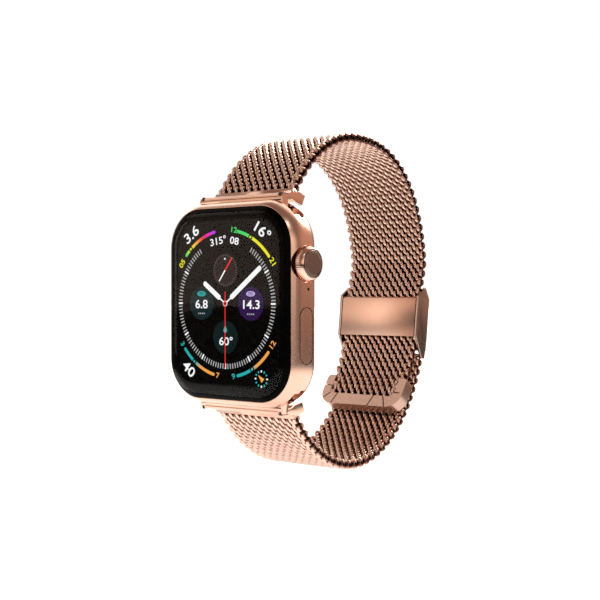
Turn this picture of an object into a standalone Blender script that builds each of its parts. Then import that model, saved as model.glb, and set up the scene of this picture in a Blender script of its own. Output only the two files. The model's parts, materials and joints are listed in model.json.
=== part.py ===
import math

import bmesh
import bpy
from mathutils import Matrix, Vector

# Frame: origin at the middle of the rear crystal, display towards -Y, twelve o'clock +Z, crown +X.
MM = 0.001
NAME = "smartwatch"

# Driving dimensions, in millimetres
CASE_WIDTH = 34.0
CASE_HEIGHT = 40.0
CORNER_RADIUS = 9.0
FRONT_Y = -10.7
BACK_Y = -1.4
FRONT_FILLET = 4.4
BACK_FILLET = 3.5
GLASS_SEAM_Y = -9.3
SEAM = 0.2
GAP = 0.3
CHANNEL_Y = -5.0
CROWN_Y = -5.65
CROWN_Z = 7.6
CROWN_RADIUS = 3.3
SIDE_BUTTON_Y = -5.95
SIDE_BUTTON_Z = -5.95
SIDE_BUTTON_LENGTH = 10.5
SIDE_BUTTON_WIDTH = 3.3
MIC_Y = -5.5
MIC_Z = 2.8
RELEASE_Z = 14.8
STRAP_HALF = 10.0
STRAP_THICK = 2.15
ADAPTER_HALF = 11.0
HINGE_Y = -1.1
HINGE_Z = 20.9
LOOP_Y = 19.3
LOOP_DEPTH = 26.3
LOOP_TOP = 34.4
LOOP_BOTTOM = 33.7
BACK_POWER = 2.45
FLEX_TOP_Z = (28.0, 21.0, 9.5)
FLEX_BOTTOM_Z = (30.0, 26.0)
STRAP_END_BOTTOM_Z = 11.9
CLASP_Y = 40.95
CLASP_Z = -3.0
CLASP_TILT = math.atan2(1.1, 9.2)
CLASP_STRAP_N = 1.95
CLASP_EXIT_T = -4.9
TAIL_KINK = math.radians(9.0)
TAIL_RADIUS = 38.0
TAIL_LENGTH = 10.2
PEEL_AT = 7.4
TONGUE_TILT = math.radians(28.0)
TONGUE_LENGTH = 7.6
TONGUE_HALF = 10.9

PART_COLLECTION = bpy.data.collections.new(NAME)
CUT_COLLECTION = bpy.data.collections.new(NAME + "_cutters")


# ---------------------------------------------------------------- materials and objects
def material(name, colour, roughness, metallic):
    made = bpy.data.materials.get(name)
    if made is None:
        made = bpy.data.materials.new(name)
        made.use_nodes = True
        shader = made.node_tree.nodes["Principled BSDF"]
        shader.inputs["Base Color"].default_value = (*colour, 1.0)
        shader.inputs["Roughness"].default_value = roughness
        shader.inputs["Metallic"].default_value = metallic
    return made


FINISHES = {
    "rose_aluminium": ((0.78, 0.50, 0.38), 0.32, 1.0),
    "rose_steel": ((0.80, 0.52, 0.40), 0.18, 1.0),
    "dark_disc": ((0.20, 0.13, 0.10), 0.35, 0.6),
    "black_glass": ((0.01, 0.01, 0.012), 0.05, 0.0),
    "ceramic": ((0.03, 0.03, 0.035), 0.2, 0.0),
    "steel": ((0.6, 0.6, 0.62), 0.3, 1.0),
    "rubber": ((0.04, 0.04, 0.04), 0.8, 0.0),
    "board": ((0.02, 0.12, 0.06), 0.6, 0.0),
    "plastic": ((0.08, 0.08, 0.09), 0.5, 0.0),
    "copper": ((0.72, 0.35, 0.20), 0.35, 1.0),
    "cell": ((0.20, 0.21, 0.24), 0.45, 0.3),
}


def finish_object(name, mesh, finish, origin=(0.0, 0.0, 0.0)):
    made = bpy.data.objects.new(name, mesh)
    made.location = Vector(origin) * MM
    PART_COLLECTION.objects.link(made)
    mesh.materials.append(material(finish, *FINISHES[finish]))
    mesh.shade_smooth()
    mesh.set_sharp_from_angle(angle=math.radians(35))
    return made


def mesh_from(name, bm):
    bmesh.ops.recalc_face_normals(bm, faces=bm.faces)
    bmesh.ops.scale(bm, vec=(MM, MM, MM), verts=bm.verts)
    mesh = bpy.data.meshes.new(name)
    bm.to_mesh(mesh)
    bm.free()
    return mesh


def as_cutter(made):
    PART_COLLECTION.objects.unlink(made)
    CUT_COLLECTION.objects.link(made)
    made.hide_render = True
    made.display_type = "WIRE"
    return made


def boolean(target, other, operation="DIFFERENCE"):
    step = target.modifiers.new(other.name, "BOOLEAN")
    step.object = other
    step.operation = operation
    step.solver = "EXACT"


# ---------------------------------------------------------------- shape makers, sizes in millimetres
def box_mesh(name, size, centre=(0, 0, 0), bevel=0.0, segments=2):
    bm = bmesh.new()
    bmesh.ops.create_cube(bm, size=1.0)
    bmesh.ops.scale(bm, vec=size, verts=bm.verts)
    if bevel:
        bmesh.ops.bevel(bm, geom=bm.edges[:], offset=bevel, segments=segments, profile=0.5,
                        affect="EDGES", material=-1)
    bmesh.ops.translate(bm, vec=centre, verts=bm.verts)
    return mesh_from(name, bm)


def box(name, size, centre, finish, bevel=0.0):
    return finish_object(name, box_mesh(name, size, bevel=bevel), finish, centre)


def slab_mesh(name, half_x, half_z, corner, y_near, y_far, front=0.0, back=0.0, steps=6):
    """Rounded rectangle seen from the front, its near and far edges rounded when asked."""
    bm = bmesh.new()
    bmesh.ops.create_cube(bm, size=1.0)
    bmesh.ops.scale(bm, vec=(2 * half_x, y_far - y_near, 2 * half_z), verts=bm.verts)
    upright = [e for e in bm.edges if abs(e.verts[0].co.y - e.verts[1].co.y) > 0.5 * (y_far - y_near)]
    bmesh.ops.bevel(bm, geom=upright, offset=corner, segments=steps, profile=0.5, affect="EDGES", material=-1)
    for side, radius in ((-1, front), (1, back)):
        if radius:
            level = 0.5 * side * (y_far - y_near)
            rim = [e for e in bm.edges if all(abs(v.co.y - level) < 1e-4 for v in e.verts)]
            bmesh.ops.bevel(bm, geom=rim, offset=radius, segments=5, profile=0.5, affect="EDGES", material=-1)
    bmesh.ops.translate(bm, vec=(0, 0.5 * (y_near + y_far), 0), verts=bm.verts)
    return mesh_from(name, bm)


def slab(name, half_x, half_z, corner, y_near, y_far, finish, **rounding):
    mesh = slab_mesh(name, half_x, half_z, corner, y_near, y_far, **rounding)
    return finish_object(name, mesh, finish)


AXIS_TURN = {
    "x": Matrix.Rotation(math.radians(90), 4, "Y"),
    "y": Matrix.Rotation(math.radians(-90), 4, "X"),
    "z": Matrix.Identity(4),
}


def cylinder(name, radius, length, centre, axis, finish, sides=24, tip=None):
    bm = bmesh.new()
    bmesh.ops.create_cone(bm, cap_ends=True, segments=sides, radius1=radius,
                          radius2=radius if tip is None else tip, depth=length)
    bmesh.ops.transform(bm, matrix=AXIS_TURN[axis], verts=bm.verts)
    return finish_object(name, mesh_from(name, bm), finish, centre)


def turned(name, profile, centre, axis, finish, steps=28):
    """Ring or cap from a closed (radius, height) profile, its height along the axis."""
    bm = bmesh.new()
    corners = [bm.verts.new((r, 0, h)) for r, h in profile]
    edges = [bm.edges.new((a, b)) for a, b in zip(corners, corners[1:] + corners[:1])]
    bmesh.ops.spin(bm, geom=corners + edges, cent=(0, 0, 0), axis=(0, 0, 1), angle=math.tau,
                   steps=steps, use_merge=True)
    bmesh.ops.remove_doubles(bm, verts=bm.verts, dist=1e-4)
    bmesh.ops.transform(bm, matrix=AXIS_TURN[axis], verts=bm.verts)
    return finish_object(name, mesh_from(name, bm), finish, centre)


def prism(name, outline, half_x, finish, origin=(0, 0, 0), x_centre=0.0):
    """A (Y, Z) outline drawn out along X."""
    bm = bmesh.new()
    face = bm.faces.new([bm.verts.new((x_centre - half_x, y - origin[1], z - origin[2])) for y, z in outline])
    grown = bmesh.ops.extrude_face_region(bm, geom=[face])["geom"]
    bmesh.ops.translate(bm, vec=(2 * half_x, 0, 0), verts=[g for g in grown if isinstance(g, bmesh.types.BMVert)])
    return finish_object(name, mesh_from(name, bm), finish, origin)


def capsule_mesh(name, length, width, depth, along, through, steps=10):
    """Stadium prism: long way on one axis, drawn out along another."""
    bm = bmesh.new()
    half = 0.5 * width
    reach = 0.5 * length - half
    points = []
    for end, start in ((1, -90), (-1, 90)):
        for k in range(steps + 1):
            turn = math.radians(start + 180 * k / steps)
            points.append((end * reach + half * math.cos(turn), half * math.sin(turn)))
    other = ({"x", "y", "z"} - {along, through}).pop()
    place = {"x": 0, "y": 1, "z": 2}
    verts = []
    for long_way, short_way in points:
        spot = [0.0, 0.0, 0.0]
        spot[place[along]] = long_way
        spot[place[other]] = short_way
        spot[place[through]] = -0.5 * depth
        verts.append(bm.verts.new(spot))
    face = bm.faces.new(verts)
    grown = bmesh.ops.extrude_face_region(bm, geom=[face])["geom"]
    shift = [0.0, 0.0, 0.0]
    shift[place[through]] = depth
    bmesh.ops.translate(bm, vec=shift, verts=[g for g in grown if isinstance(g, bmesh.types.BMVert)])
    return mesh_from(name, bm)


def capsule(name, length, width, depth, centre, along, through, finish):
    return finish_object(name, capsule_mesh(name, length, width, depth, along, through), finish, centre)


# ---------------------------------------------------------------- case and its seals
def pebble_mesh(name):
    return slab_mesh(name, CASE_WIDTH / 2, CASE_HEIGHT / 2, CORNER_RADIUS, FRONT_Y, BACK_Y,
                     front=FRONT_FILLET, back=BACK_FILLET, steps=8)


def pebble_half(name, finish, level, keep_front):
    """Case and glass share one rounded outer form, parted at the seam."""
    bm = bmesh.new()
    bm.from_mesh(pebble_mesh(name + "_form"))
    cut = bmesh.ops.bisect_plane(bm, geom=bm.verts[:] + bm.edges[:] + bm.faces[:], plane_co=(0, level * MM, 0),
                                 plane_no=(0, 1, 0), clear_outer=keep_front, clear_inner=not keep_front)
    loop = [g for g in cut["geom_cut"] if isinstance(g, bmesh.types.BMEdge)]
    bmesh.ops.edgenet_fill(bm, edges=loop)
    bmesh.ops.recalc_face_normals(bm, faces=bm.faces)
    mesh = bpy.data.meshes.new(name)
    bm.to_mesh(mesh)
    bm.free()
    return finish_object(name, mesh, finish)


def channel_outline(side):
    """Band channel in (Y, Z): a wide chamber behind a narrower mouth, plus a keyway in its floor."""
    shape = [(-1.1, 22.0), (-1.1, 18.75), (-1.9, 18.75), (-1.9, 16.95), (-0.6, 16.95), (-0.6, 16.4),
             (0.6, 16.4), (0.6, 16.95), (1.9, 16.95), (1.9, 18.75), (1.1, 18.75), (1.1, 22.0)]
    return [(CHANNEL_Y + y, side * z) for y, z in shape]


def build_case():
    case = pebble_half("case_shell", "rose_aluminium", GLASS_SEAM_Y + SEAM / 2, False)
    cuts = [
        slab("cut_display_seat", 15.2, 18.2, 7.2, -10.0, -8.0, "plastic"),
        slab("cut_cavity", 14.4, 15.7, 3.2, -8.2, -2.6, "plastic"),
        slab("cut_back_window", 12.9, 13.0, 6.0, -3.0, 0.5, "plastic"),
        cylinder("cut_crown_recess", CROWN_RADIUS + 0.35, 3.4, (17.4, CROWN_Y, CROWN_Z), "x", "plastic", 32),
        cylinder("cut_crown_bore", 2.0, 6.0, (15.0, CROWN_Y, CROWN_Z), "x", "plastic", 24),
        capsule("cut_side_button", SIDE_BUTTON_LENGTH + 0.4, SIDE_BUTTON_WIDTH + 0.4, 2.8,
                (16.4, SIDE_BUTTON_Y, SIDE_BUTTON_Z), "z", "x", "plastic"),
        cylinder("cut_side_stem", 1.0, 4.0, (14.6, SIDE_BUTTON_Y, SIDE_BUTTON_Z), "x", "plastic", 16),
        cylinder("cut_mic", 0.35, 5.0, (15.5, MIC_Y, MIC_Z), "x", "plastic", 12),
    ]
    for side, tag in ((1, "top"), (-1, "bottom")):
        cuts.append(prism("cut_channel_" + tag, channel_outline(side), 20.0, "plastic"))
        cuts.append(capsule("cut_release_" + tag, 4.0, 2.0, 3.0, (0, -2.0, side * RELEASE_Z), "x", "y", "plastic"))
    for k, z in enumerate((1.6, -4.4)):
        cuts.append(capsule("cut_speaker_%d" % k, 5.0, 1.1, 5.0, (-15.5, -5.0, z), "z", "x", "plastic"))
    for cutter in cuts:
        boolean(case, as_cutter(cutter))
    pebble_half("front_glass", "black_glass", GLASS_SEAM_Y - SEAM / 2, True)
    gasket = slab("glass_gasket", 14.95, 17.95, 7.0, -9.1, -8.4, "rubber")
    boolean(gasket, as_cutter(slab("cut_gasket", 14.5, 17.5, 6.6, -9.6, -8.0, "rubber")))
    slab("display_panel", 14.2, 17.2, 6.3, -9.15, -8.45, "plastic")


def build_back():
    back = slab("back_cover", 12.6, 12.7, 5.8, -2.6, -0.9, "ceramic", back=0.5)
    boolean(back, as_cutter(cylinder("cut_back_bore", 9.9, 4.0, (0, -2.0, 0), "y", "ceramic", 40)))
    boolean(back, as_cutter(cylinder("cut_back_relief", 11.9, 1.2, (0, -2.9, 0), "y", "ceramic", 40)))
    crystal = [(0, -2.0), (9.5, -2.0), (9.5, -0.8), (8.6, -0.35), (7.2, -0.08), (6.0, 0.0), (0, 0.0)]
    turned("rear_crystal", crystal, (0, 0, 0), "y", "black_glass", 40)
    coil = [(9.2, -3.6), (11.5, -3.6), (11.5, -2.7), (9.2, -2.7)]
    turned("charging_coil", coil, (0, 0, 0), "y", "copper", 32)
    cylinder("sensor_board", 8.6, 0.8, (0, -2.75, 0), "y", "board", 32)


# ---------------------------------------------------------------- electronics
def build_electronics():
    box("battery", (15.2, 3.4, 12.5), (-5.7, -5.6, -7.45), "cell", 0.4)
    box("main_board", (25.0, 0.6, 13.4), (-0.8, -7.6, 7.5), "board")
    box("system_module", (15.0, 1.4, 10.0), (-2.5, -6.0, 8.0), "steel", 0.2)
    box("haptic_motor", (9.4, 3.2, 5.6), (7.6, -5.6, -11.8), "steel", 0.3)
    box("speaker", (3.0, 1.6, 9.4), (-12.3, -4.8, 4.2), "plastic", 0.2)
    box("microphone", (1.6, 1.0, 2.0), (13.3, MIC_Y, MIC_Z), "plastic")
    box("display_connector", (5.0, 0.4, 2.2), (5.4, -8.0, -1.2), "plastic")


# ---------------------------------------------------------------- crown
def build_crown():
    at = (0.0, CROWN_Y, CROWN_Z)
    head = [(0, 16.25), (2.6, 16.25), (3.15, 16.5), (CROWN_RADIUS, 16.75), (CROWN_RADIUS, 17.75), (2.85, 18.3),
            (2.75, 18.3), (2.75, 17.85), (0, 17.85)]
    turned("crown_head", head, at, "x", "rose_steel", 36)
    disc = [(0, 18.0), (2.6, 18.0), (2.6, 18.35), (2.5, 18.42), (0, 18.42)]
    turned("crown_disc", disc, at, "x", "dark_disc", 32)
    cylinder("crown_shaft", 0.8, 4.4, (13.85, CROWN_Y, CROWN_Z), "x", "steel", 16)
    bushing = [(1.35, 13.9), (1.75, 13.9), (1.75, 15.6), (1.35, 15.6)]
    turned("crown_bushing", bushing, at, "x", "steel", 20)
    seal = [(0.9, 14.6), (1.25, 14.6), (1.25, 14.9), (0.9, 14.9)]
    turned("crown_seal", seal, at, "x", "rubber", 20)
    cap = [(0, 10.9), (1.4, 10.9), (1.4, 11.9), (1.1, 11.9), (1.1, 11.35), (0, 11.35)]
    turned("crown_thrust_cap", cap, at, "x", "steel", 20)
    box("crown_switch", (1.2, 2.4, 3.0), (9.8, CROWN_Y, CROWN_Z), "plastic", 0.15)
    box("crown_sensor", (1.4, 0.9, 2.4), (13.0, CROWN_Y + 1.6, CROWN_Z), "plastic")


# ---------------------------------------------------------------- side button and band release buttons
def build_side_button():
    spot = (16.4, SIDE_BUTTON_Y, SIDE_BUTTON_Z)
    button = finish_object("side_button", pebble_mesh("side_button"), "rose_aluminium")
    blank = capsule("cut_button_blank", SIDE_BUTTON_LENGTH, SIDE_BUTTON_WIDTH, 1.8, spot, "z", "x", "plastic")
    boolean(button, as_cutter(blank), "INTERSECT")
    cylinder("side_button_plunger", 0.6, 2.2, (14.1, SIDE_BUTTON_Y, SIDE_BUTTON_Z), "x", "steel", 16)
    box("side_button_switch", (1.0, 2.2, 3.0), (11.95, SIDE_BUTTON_Y, SIDE_BUTTON_Z), "plastic", 0.15)
    ring = [(0.7, 14.7), (0.9, 14.7), (0.9, 15.0), (0.7, 15.0)]
    turned("side_button_seal", ring, (0, SIDE_BUTTON_Y, SIDE_BUTTON_Z), "x", "rubber", 16)


def coil_spring(name, radius, wire, turns, y_start, y_end, z_at, finish):
    """Compression spring along Y."""
    curve = bpy.data.curves.new(name, "CURVE")
    curve.dimensions = "3D"
    curve.bevel_depth = wire * MM
    curve.bevel_resolution = 1
    curve.use_fill_caps = True
    path = curve.splines.new("POLY")
    count = int(turns * 10) + 1
    path.points.add(count - 1)
    for k in range(count):
        turn = math.tau * turns * k / (count - 1)
        y = y_start + (y_end - y_start) * k / (count - 1)
        path.points[k].co = (radius * math.cos(turn) * MM, y * MM, (z_at + radius * math.sin(turn)) * MM, 1)
    made = bpy.data.objects.new(name, curve)
    PART_COLLECTION.objects.link(made)
    curve.materials.append(material(finish, *FINISHES[finish]))


def build_release(side, tag):
    spot = (0.0, -2.25, side * RELEASE_Z)
    capsule("release_button_" + tag, 3.6, 1.6, 1.6, spot, "x", "y", "rose_aluminium")
    coil_spring("release_spring_" + tag, 0.5, 0.11, 3.0, -5.6, -4.0, side * RELEASE_Z, "steel")


# ---------------------------------------------------------------- band adapters and hinges
def build_adapter(side, tag):
    shape = [(-1.6, 17.25), (1.6, 17.25), (1.6, 18.45), (0.8, 18.45), (0.8, 20.3), (1.65, 20.3), (1.65, 21.2),
             (-0.6, 21.2), (-0.9, 20.3), (-0.8, 18.45), (-1.6, 18.45)]
    body = prism("adapter_" + tag, [(CHANNEL_Y + y, side * z) for y, z in shape], ADAPTER_HALF - 0.05,
                 "rose_steel")
    ear = [(-4.4, 20.35), (-3.0, 20.2), (-1.9, 19.7), (0.0, 19.2), (0.9, 21.05), (-0.95, 21.8), (-3.2, 21.5),
           (-4.4, 21.15)]
    for end in (-1, 1):
        lug = prism("ear_%s_%d" % (tag, end), [(y, side * z) for y, z in ear], 0.3, "rose_steel",
                    x_centre=end * (ADAPTER_HALF - 0.3))
        boolean(body, as_cutter(lug), "UNION")
    hole = cylinder("cut_pin_" + tag, 0.6, 2 * ADAPTER_HALF - 0.3, (0, HINGE_Y, side * HINGE_Z), "x", "steel", 16)
    boolean(body, as_cutter(hole))
    latch_hole = cylinder("cut_latch_" + tag, 0.55, 3.2, (0, CHANNEL_Y, side * 17.6), "z", "steel", 16)
    boolean(body, as_cutter(latch_hole))
    cylinder("latch_pin_" + tag, 0.38, 1.7, (0, CHANNEL_Y, side * 17.5), "z", "steel", 16)
    cylinder("hinge_pin_" + tag, 0.42, 2 * ADAPTER_HALF - 0.7, (0, HINGE_Y, side * HINGE_Z), "x", "steel", 16)


def build_end_bar(side, tag):
    """Rounded bar that the woven band starts from, turning on the hinge pin."""
    slope = math.radians(32.4)
    bm = bmesh.new()
    bmesh.ops.create_cube(bm, size=1.0)
    bmesh.ops.scale(bm, vec=(20.2, 2.5, 2.3), verts=bm.verts)
    long_edges = [e for e in bm.edges if abs(e.verts[0].co.x - e.verts[1].co.x) > 1]
    bmesh.ops.bevel(bm, geom=long_edges, offset=0.7, segments=4, profile=0.5, affect="EDGES", material=-1)
    bmesh.ops.rotate(bm, cent=(0, 0, 0), matrix=Matrix.Rotation(-side * slope, 3, "X"), verts=bm.verts)
    bmesh.ops.translate(bm, vec=(0, -0.1, side * 0.25), verts=bm.verts)
    bar = finish_object("end_bar_" + tag, mesh_from("end_bar_" + tag, bm), "rose_steel",
                        (0, HINGE_Y, side * HINGE_Z))
    hole = cylinder("cut_bar_" + tag, 0.6, 24.0, (0, HINGE_Y, side * HINGE_Z), "x", "steel", 16)
    boolean(bar, as_cutter(hole))


# ---------------------------------------------------------------- the band's centre line, (Y, Z) pairs
def clasp_point(n, t):
    """A point given across (n, outwards) and along (t, upwards) the tilted clasp."""
    c, s = math.cos(CLASP_TILT), math.sin(CLASP_TILT)
    return (CLASP_Y + n * c + t * s, CLASP_Z - n * s + t * c)


def loop_half(height, power, samples=900):
    """From the adapter over the crest and down the back, as one dense line."""
    line = []
    for k in range(samples + 1):
        turn = math.radians(180.0 * k / samples)
        c, s = math.cos(turn), math.sin(turn)
        if c >= 0:
            line.append((LOOP_Y - LOOP_DEPTH * c, height * s))
        else:
            line.append((LOOP_Y + LOOP_DEPTH * abs(c) ** (2 / power), height * s ** (2 / power)))
    return line


def hermite(start, start_way, end, end_way, samples=16):
    line = []
    for k in range(1, samples + 1):
        t = k / samples
        a, b = 2 * t ** 3 - 3 * t ** 2 + 1, t ** 3 - 2 * t ** 2 + t
        c, d = -2 * t ** 3 + 3 * t ** 2, t ** 3 - t ** 2
        line.append(tuple(a * start[i] + b * start_way[i] + c * end[i] + d * end_way[i] for i in (0, 1)))
    return line


def tail_point(s, across=0.0):
    """The tail's centre line after the clasp: a small kink, then an arc towards the wrist."""
    turn = TAIL_KINK + s / TAIL_RADIUS
    n = CLASP_STRAP_N + TAIL_RADIUS * (math.cos(turn) - math.cos(TAIL_KINK)) + across * math.cos(turn)
    t = CLASP_EXIT_T - TAIL_RADIUS * (math.sin(turn) - math.sin(TAIL_KINK)) - across * math.sin(turn)
    return clasp_point(n, t)


def top_line():
    line = [p for p in loop_half(LOOP_TOP, BACK_POWER) if p[0] < LOOP_Y or p[1] > FLEX_TOP_Z[2]]
    line = [p for p in line if p[0] > LOOP_Y or p[1] > 22.3]
    entry = clasp_point(CLASP_STRAP_N, 5.2)
    down = (-6.0 * math.sin(CLASP_TILT), -6.0 * math.cos(CLASP_TILT))
    line += hermite(line[-1], (0.4, -6.0), entry, down)
    line += [clasp_point(CLASP_STRAP_N, 5.2 - 10.1 * k / 8) for k in range(1, 9)]
    return line


def bottom_line():
    line = loop_half(LOOP_BOTTOM, 2.0)
    line = [p for p in line if (p[0] < LOOP_Y and p[1] > 22.3) or (p[0] >= LOOP_Y and p[1] > STRAP_END_BOTTOM_Z)]
    return [(y, -z) for y, z in line]


def cut_line(line, start_z, end_z, side, pitch=4.0):
    """The stretch between two heights on the back half, evenly resampled."""
    def passed(point, level):
        return point[0] > LOOP_Y and side * point[1] < level
    kept = [p for p in line if (start_z is None or passed(p, start_z)) and (end_z is None or not passed(p, end_z))]
    return resample(kept, pitch)


def resample(line, pitch):
    steps = [0.0]
    for a, b in zip(line, line[1:]):
        steps.append(steps[-1] + math.dist(a, b))
    inner = steps[-1] - GAP
    count = max(2, round(inner / pitch))
    out = []
    for k in range(count + 1):
        want = GAP / 2 + inner * k / count
        j = max(i for i in range(len(steps)) if steps[i] <= want)
        j = min(j, len(line) - 2)
        share = (want - steps[j]) / (steps[j + 1] - steps[j])
        out.append(tuple(line[j][i] + share * (line[j + 1][i] - line[j][i]) for i in (0, 1)))
    return out


def ribbon(name, line, origin):
    """A flat band of woven metal: a strip along the line, given its thickness."""
    bm = bmesh.new()
    verts = [bm.verts.new((-STRAP_HALF * MM, (y - origin[1]) * MM, (z - origin[2]) * MM)) for y, z in line]
    edges = [bm.edges.new(pair) for pair in zip(verts, verts[1:])]
    grown = bmesh.ops.extrude_edge_only(bm, edges=edges)["geom"]
    bmesh.ops.translate(bm, vec=(2 * STRAP_HALF * MM, 0, 0), verts=[g for g in grown if isinstance(g, bmesh.types.BMVert)])
    mesh = bpy.data.meshes.new(name)
    bm.to_mesh(mesh)
    bm.free()
    made = finish_object(name, mesh, "rose_steel", origin)
    wall = made.modifiers.new("thickness", "SOLIDIFY")
    wall.thickness = STRAP_THICK * MM
    wall.offset = 0.0
    wall.use_even_offset = True


def build_band():
    top = top_line()
    levels = (None,) + FLEX_TOP_Z + (None,)
    starts = [(0, HINGE_Y, HINGE_Z)]
    for z in FLEX_TOP_Z:
        y = LOOP_Y + LOOP_DEPTH * (1 - (z / LOOP_TOP) ** BACK_POWER) ** (1 / BACK_POWER)
        starts.append((0, y, z))
    for k, origin in enumerate(starts):
        ribbon("band_top_%d" % (k + 1), cut_line(top, levels[k], levels[k + 1], 1), origin)
    bottom = bottom_line()
    levels = (None,) + FLEX_BOTTOM_Z + (None,)
    starts = [(0, HINGE_Y, -HINGE_Z)]
    for z in FLEX_BOTTOM_Z:
        starts.append((0, LOOP_Y + LOOP_DEPTH * math.sqrt(1 - (z / LOOP_BOTTOM) ** 2), -z))
    for k, origin in enumerate(starts):
        ribbon("band_bottom_%d" % (k + 1), cut_line(bottom, levels[k], levels[k + 1], -1), origin)
    hinge = clasp_point(CLASP_STRAP_N, CLASP_EXIT_T)
    ribbon("tail_upper", resample([tail_point(PEEL_AT * k / 8) for k in range(9)], 2.5), (0, *hinge))
    rest = [tail_point(PEEL_AT + (TAIL_LENGTH - PEEL_AT) * k / 4) for k in range(5)]
    ribbon("tail_lower", resample(rest, 1.4), (0, *tail_point(PEEL_AT, -STRAP_THICK / 2)))


# ---------------------------------------------------------------- clasp
def clasp_prism(name, outline, half_x, finish, x_centre=0.0, origin=(0, 0, 0)):
    return prism(name, [clasp_point(n, t) for n, t in outline], half_x, finish, origin, x_centre)


def build_clasp():
    plate = [(3.4, -7.6), (4.2, -7.6), (4.2, 4.3), (3.4, 4.8)]
    frame = clasp_prism("clasp_frame", plate, 10.95, "rose_steel")
    cheek = [(0.0, 4.5), (0.0, -4.6), (2.9, -9.4), (3.85, -9.3), (4.3, -5.0), (4.3, 4.1), (2.5, 6.6)]
    for end in (-1, 1):
        wing = clasp_prism("cheek_%d" % end, cheek, 0.3, "rose_steel", x_centre=end * 10.65)
        boolean(frame, as_cutter(wing), "UNION")
    y, z = clasp_point(0.38, 3.9)
    pin_hole = cylinder("cut_clasp_pin", 0.2, 21.6, (0, y, z), "x", "steel", 12)
    boolean(frame, as_cutter(pin_hole))
    cylinder("clasp_pin", 0.12, 21.4, (0, y, z), "x", "steel", 12)
    flap = [(0.0, -4.65), (0.55, -4.65), (0.55, 3.6), (0.72, 3.75), (0.72, 4.05), (0.55, 4.2), (0.25, 4.2),
            (0.0, 3.95)]
    plate = clasp_prism("clasp_flap", flap, 10.15, "rose_steel", origin=(0, y, z))
    boolean(plate, as_cutter(cylinder("cut_flap_pin", 0.18, 24.0, (0, y, z), "x", "steel", 12)))


def tongue_spot(across, along):
    """A point of the tongue: across its thickness (outwards) and down its length."""
    end_turn = TAIL_KINK + TAIL_LENGTH / TAIL_RADIUS
    n0 = CLASP_STRAP_N + TAIL_RADIUS * (math.cos(end_turn) - math.cos(TAIL_KINK))
    t0 = CLASP_EXIT_T - TAIL_RADIUS * (math.sin(end_turn) - math.sin(TAIL_KINK))
    c, s = math.cos(TONGUE_TILT), math.sin(TONGUE_TILT)
    return clasp_point(n0 - along * s + across * c, t0 - along * c - across * s)


def tongue_slab(name, half_x, along, across, corner, finish):
    """Rounded rectangular plate lying in the tongue's own tilted plane."""
    length, thick = along[1] - along[0], across[1] - across[0]
    bm = bmesh.new()
    bmesh.ops.create_cube(bm, size=1.0)
    bmesh.ops.scale(bm, vec=(2 * half_x, thick, length), verts=bm.verts)
    upright = [e for e in bm.edges if abs(e.verts[0].co.y - e.verts[1].co.y) > 0.5 * thick]
    bmesh.ops.bevel(bm, geom=upright, offset=corner, segments=6, profile=0.5, affect="EDGES", material=-1)
    tilt = CLASP_TILT + TONGUE_TILT
    bmesh.ops.rotate(bm, cent=(0, 0, 0), matrix=Matrix.Rotation(-tilt, 3, "X"), verts=bm.verts)
    middle = tongue_spot(0.5 * (across[0] + across[1]), 0.5 * (along[0] + along[1]))
    return finish_object(name, mesh_from(name, bm), finish, (0, *middle))


def build_tongue():
    shell = tongue_slab("tongue_shell", TONGUE_HALF, (0.25, TONGUE_LENGTH), (-1.35, 1.45), 3.3, "rose_steel")
    pocket = tongue_slab("cut_tongue", TONGUE_HALF - 0.8, (1.05, TONGUE_LENGTH - 0.8), (-0.55, 3.0), 2.6, "steel")
    boolean(shell, as_cutter(pocket))
    for k, x in enumerate((-6.6, 0.0, 6.6)):
        tongue_slab("tongue_magnet_%d" % (k + 1), 2.6, (1.6, TONGUE_LENGTH - 1.3), (-0.25, 0.75), 0.4, "steel"
                    ).location.x = x * MM
    tongue_slab("tongue_backing", TONGUE_HALF - 1.1, (1.35, TONGUE_LENGTH - 1.1), (1.05, 1.4), 2.3, "rose_steel")


# ---------------------------------------------------------------- build
def main():
    for stale in list(bpy.data.objects):
        bpy.data.objects.remove(stale, do_unlink=True)
    bpy.context.scene.collection.children.link(PART_COLLECTION)
    bpy.context.scene.collection.children.link(CUT_COLLECTION)
    build_case()
    build_back()
    build_electronics()
    build_crown()
    build_side_button()
    for side, tag in ((1, "top"), (-1, "bottom")):
        build_release(side, tag)
        build_adapter(side, tag)
        build_end_bar(side, tag)
    build_band()
    build_clasp()
    build_tongue()


main()
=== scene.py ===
import json
import math

import bmesh
import bpy
from mathutils import Matrix, Vector


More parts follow.
